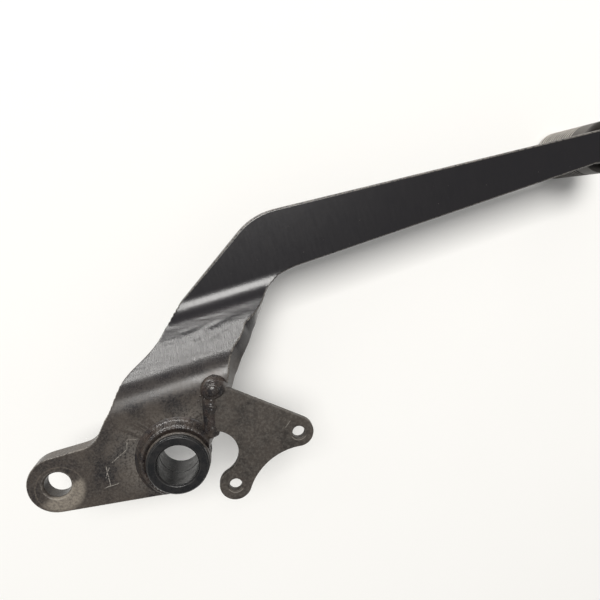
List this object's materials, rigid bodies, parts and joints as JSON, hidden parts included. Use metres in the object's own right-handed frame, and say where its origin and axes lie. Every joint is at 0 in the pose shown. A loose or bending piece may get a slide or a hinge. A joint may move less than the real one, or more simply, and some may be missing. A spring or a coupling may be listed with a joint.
{
  "type": "rear brake pedal",
  "caption": "Joggled sheet-steel motorcycle rear brake pedal with a welded pivot tube, clevis eye, spring bracket and ribbed toe rubber.",
  "frame": {"origin": "centre of the pivot bore, at half the tube's length", "axes": "+Z along the pivot bore towards the inboard side, where the spring bracket is; +X from the pivot towards the toe end; +Y up, towards the side where the arm rises"},
  "size_m": [0.2182, 0.129, 0.063],
  "materials": {
    "black_paint": "satin black paint, dusty",
    "bracket_paint": "black paint with brown dust and wear",
    "painted_weld": "painted weld bead, rough, with some brown",
    "bush": "smooth dark polymer",
    "stud_steel": "plain steel",
    "rubber": "worn ribbed rubber with grey dust"
  },
  "bodies": {
    "root": {"lever_plate": "black_paint", "pivot_tube": "black_paint", "inner_bush": "bush", "outer_bush": "bush", "tube_weld_inner": "painted_weld", "tube_weld_outer": "painted_weld", "spring_bracket": "bracket_paint", "bracket_seam_weld": "painted_weld", "bracket_corner_weld": "painted_weld", "toe_stud": "stud_steel", "toe_stud_weld": "painted_weld", "toe_rubber": "rubber"}
  },
  "joints": []
}
